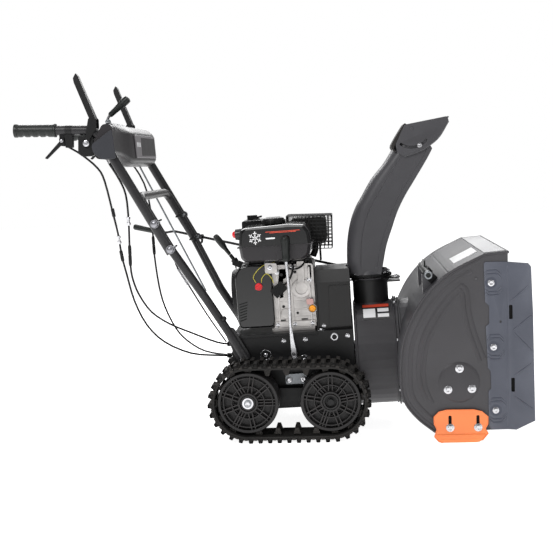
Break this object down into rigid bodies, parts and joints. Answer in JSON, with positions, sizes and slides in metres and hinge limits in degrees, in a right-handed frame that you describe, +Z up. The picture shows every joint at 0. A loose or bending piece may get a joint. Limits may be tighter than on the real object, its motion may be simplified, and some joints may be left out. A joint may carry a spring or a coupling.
{
  "type": "two-stage tracked snowblower",
  "caption": "Walk-behind two-stage snowblower on rubber tracks, with an auger intake, turning chute, small engine, handlebars and control levers.",
  "frame": {"origin": "middle of the footprint, on the ground", "axes": "+X forward to the auger intake, +Y to the machine's left, +Z up"},
  "size_m": [1.4695, 0.6834, 1.0917],
  "materials": {
    "frame_paint": "satin black paint",
    "charcoal_paint": "satin charcoal paint",
    "slate_paint": "satin blue-grey paint",
    "black_plastic": "textured",
    "gloss_black": "gloss",
    "shoe_orange": "satin",
    "red_plastic": "gloss",
    "cap_yellow": "satin",
    "track_rubber": "moulded",
    "grip_rubber": "moulded",
    "bright_steel": "zinc plated",
    "lever_chrome": "polished",
    "engine_alloy": "as cast",
    "dark_iron": "rough"
  },
  "bodies": {
    "chassis": {"chassis_frame": "frame_paint", "belt_cover": "black_plastic", "impeller_housing": "charcoal_paint", "auger_housing": "charcoal_paint", "right_side_plate": "charcoal_paint", "left_side_plate": "charcoal_paint", "scraper_bar": "bright_steel", "right_skid_shoe": "shoe_orange", "left_skid_shoe": "shoe_orange", "right_extension_plate": "slate_paint", "left_extension_plate": "slate_paint", "auger_gearbox": "dark_iron", "drive_belt": "track_rubber", "crankcase": "engine_alloy", "blower_housing": "gloss_black", "recoil_cover": "gloss_black", "fuel_tank": "gloss_black", "intake_cover": "black_plastic", "muffler": "dark_iron", "muffler_guard": "frame_paint", "lower_handlebar": "frame_paint", "right_upper_handlebar": "frame_paint", "left_upper_handlebar": "frame_paint", "right_grip": "grip_rubber", "left_grip": "grip_rubber", "control_console": "black_plastic", "right_steering_cable": "black_plastic", "left_steering_cable": "black_plastic", "clutch_cable": "black_plastic", "shift_rod": "bright_steel"},
    "impeller_drive": {"impeller": "frame_paint", "impeller_shaft": "bright_steel", "impeller_pulley": "dark_iron"},
    "auger_drive": {"auger_shaft": "bright_steel", "right_auger": "frame_paint", "left_auger": "frame_paint"},
    "crankshaft": {"engine_pulley": "dark_iron"},
    "track_drive": {"drive_axle": "bright_steel", "right_drive_wheel": "track_rubber", "left_drive_wheel": "track_rubber"},
    "track_carrier": {"track_frame": "dark_iron", "right_track": "track_rubber", "left_track": "track_rubber"},
    "right_idler": {"right_idler_wheel": "track_rubber"},
    "left_idler": {"left_idler_wheel": "track_rubber"},
    "tilt_control": {"tilt_lever": "lever_chrome"},
    "chute": {"discharge_chute": "charcoal_paint"},
    "deflector": {"chute_deflector": "charcoal_paint"},
    "crank": {"chute_crank": "frame_paint"},
    "right_clutch": {"right_clutch_lever": "black_plastic"},
    "left_clutch": {"left_clutch_lever": "black_plastic"},
    "right_steering": {"right_steering_lever": "black_plastic"},
    "left_steering": {"left_steering_lever": "black_plastic"},
    "speed_control": {"speed_lever": "black_plastic"},
    "starter_grip": {"starter_handle": "black_plastic"},
    "tank_cap": {"fuel_cap": "black_plastic"},
    "filler_cap": {"oil_cap": "cap_yellow"},
    "ignition": {"ignition_knob": "red_plastic"},
    "primer": {"primer_bulb": "red_plastic"},
    "tool": {"clean_out_tool": "black_plastic"}
  },
  "joints": [
    {"name": "impeller_spin", "type": "hinge", "parent": "chassis", "child": "impeller_drive", "pos_m": [-0.0029, 0, 0.20246], "axis": [0.9994, 0, 0.0349], "continuous": true},
    {"name": "auger_spin", "type": "hinge", "parent": "chassis", "child": "auger_drive", "pos_m": [0.52592, 0, 0.174], "axis": [0, 1, 0], "continuous": true},
    {"name": "engine_spin", "type": "hinge", "parent": "chassis", "child": "crankshaft", "pos_m": [-0.01007, 0, 0.40774], "axis": [0.9994, 0, 0.0349], "continuous": true},
    {"name": "track_drive_spin", "type": "hinge", "parent": "chassis", "child": "track_drive", "pos_m": [-0.0835, 0, 0.118], "axis": [0, 1, 0], "continuous": true},
    {"name": "track_tilt", "type": "hinge", "parent": "chassis", "child": "track_carrier", "pos_m": [-0.0835, 0, 0.118], "axis": [0, 1, 0], "range_deg": [-4, 5]},
    {"name": "right_idler_spin", "type": "hinge", "parent": "track_carrier", "child": "right_idler", "pos_m": [0.1585, 0, 0.118], "axis": [0, 1, 0], "continuous": true},
    {"name": "left_idler_spin", "type": "hinge", "parent": "track_carrier", "child": "left_idler", "pos_m": [0.1585, 0, 0.118], "axis": [0, 1, 0], "continuous": true},
    {"name": "tilt_lever_swing", "type": "hinge", "parent": "chassis", "child": "tilt_control", "pos_m": [0.0514, -0.168, 0.22337], "axis": [0, 1, 0], "range_deg": [-20, 16]},
    {"name": "chute_turn", "type": "hinge", "parent": "chassis", "child": "chute", "pos_m": [0.28563, 0, 0.45009], "axis": [-0.0349, 0, 0.9994], "range_deg": [-95, 95]},
    {"name": "deflector_tilt", "type": "hinge", "parent": "chute", "child": "deflector", "pos_m": [0.42194, 0, 0.90212], "axis": [0, 1, 0], "range_deg": [-55, 22]},
    {"name": "crank_turn", "type": "hinge", "parent": "chassis", "child": "crank", "pos_m": [-0.27794, 0.29, 0.57149], "axis": [0.925, -0.3289, -0.1902], "range_deg": [-600, 600]},
    {"name": "right_clutch_squeeze", "type": "hinge", "parent": "chassis", "child": "right_clutch", "pos_m": [-0.52207, -0.2655, 0.88896], "axis": [0, 1, 0], "range_deg": [-50, 0], "stiffness_Nm_per_rad": 0.6, "springref_deg": 45.84},
    {"name": "left_clutch_squeeze", "type": "hinge", "parent": "chassis", "child": "left_clutch", "pos_m": [-0.52207, 0.2655, 0.88896], "axis": [0, 1, 0], "range_deg": [-50, 0], "stiffness_Nm_per_rad": 0.6, "springref_deg": 45.84},
    {"name": "right_steering_squeeze", "type": "hinge", "parent": "chassis", "child": "right_steering", "pos_m": [-0.59507, -0.2655, 0.89902], "axis": [0, 1, 0], "range_deg": [0, 25], "stiffness_Nm_per_rad": 0.4, "springref_deg": -45.84},
    {"name": "left_steering_squeeze", "type": "hinge", "parent": "chassis", "child": "left_steering", "pos_m": [-0.59507, 0.2655, 0.89902], "axis": [0, 1, 0], "range_deg": [0, 25], "stiffness_Nm_per_rad": 0.4, "springref_deg": -45.84},
    {"name": "speed_select", "type": "hinge", "parent": "chassis", "child": "speed_control", "pos_m": [-0.49706, 0, 0.88604], "axis": [0, 1, 0], "range_deg": [-12, 12]},
    {"name": "starter_pull", "type": "slide", "parent": "chassis", "child": "starter_grip", "axis": [-0.5897, 0, 0.8076], "range_m": [0, 0.25], "stiffness_N_per_m": 20, "springref_m": -0.1},
    {"name": "fuel_cap_turn", "type": "hinge", "parent": "chassis", "child": "tank_cap", "pos_m": [-0.00532, -0.06, 0.62984], "axis": [-0.0349, 0, 0.9994], "range_deg": [0, 360]},
    {"name": "oil_cap_turn", "type": "hinge", "parent": "chassis", "child": "filler_cap", "pos_m": [0.10751, -0.1219, 0.37032], "axis": [0.1354, -0.9872, 0.0838], "range_deg": [0, 360]},
    {"name": "ignition_turn", "type": "hinge", "parent": "chassis", "child": "ignition", "pos_m": [-0.05344, -0.1153, 0.44045], "axis": [0, -1, 0], "range_deg": [0, 90]},
    {"name": "primer_press", "type": "slide", "parent": "chassis", "child": "primer", "axis": [0.9994, 0, 0.0349], "range_m": [0, 0.003], "stiffness_N_per_m": 200, "springref_m": -0.001},
    {"name": "tool_lift", "type": "slide", "parent": "chassis", "child": "tool", "axis": [-0.0349, 0, 0.9994], "range_m": [0, 0.12]}
  ],
  "couplings": [
    {"joint": "auger_spin", "follows": "impeller_spin", "ratio": 0.05},
    {"joint": "engine_spin", "follows": "impeller_spin", "ratio": 2.156},
    {"joint": "right_idler_spin", "follows": "track_drive_spin", "ratio": 1},
    {"joint": "left_idler_spin", "follows": "track_drive_spin", "ratio": 1},
    {"joint": "tilt_lever_swing", "follows": "track_tilt", "ratio": -4},
    {"joint": "crank_turn", "follows": "chute_turn", "ratio": 6}
  ]
}
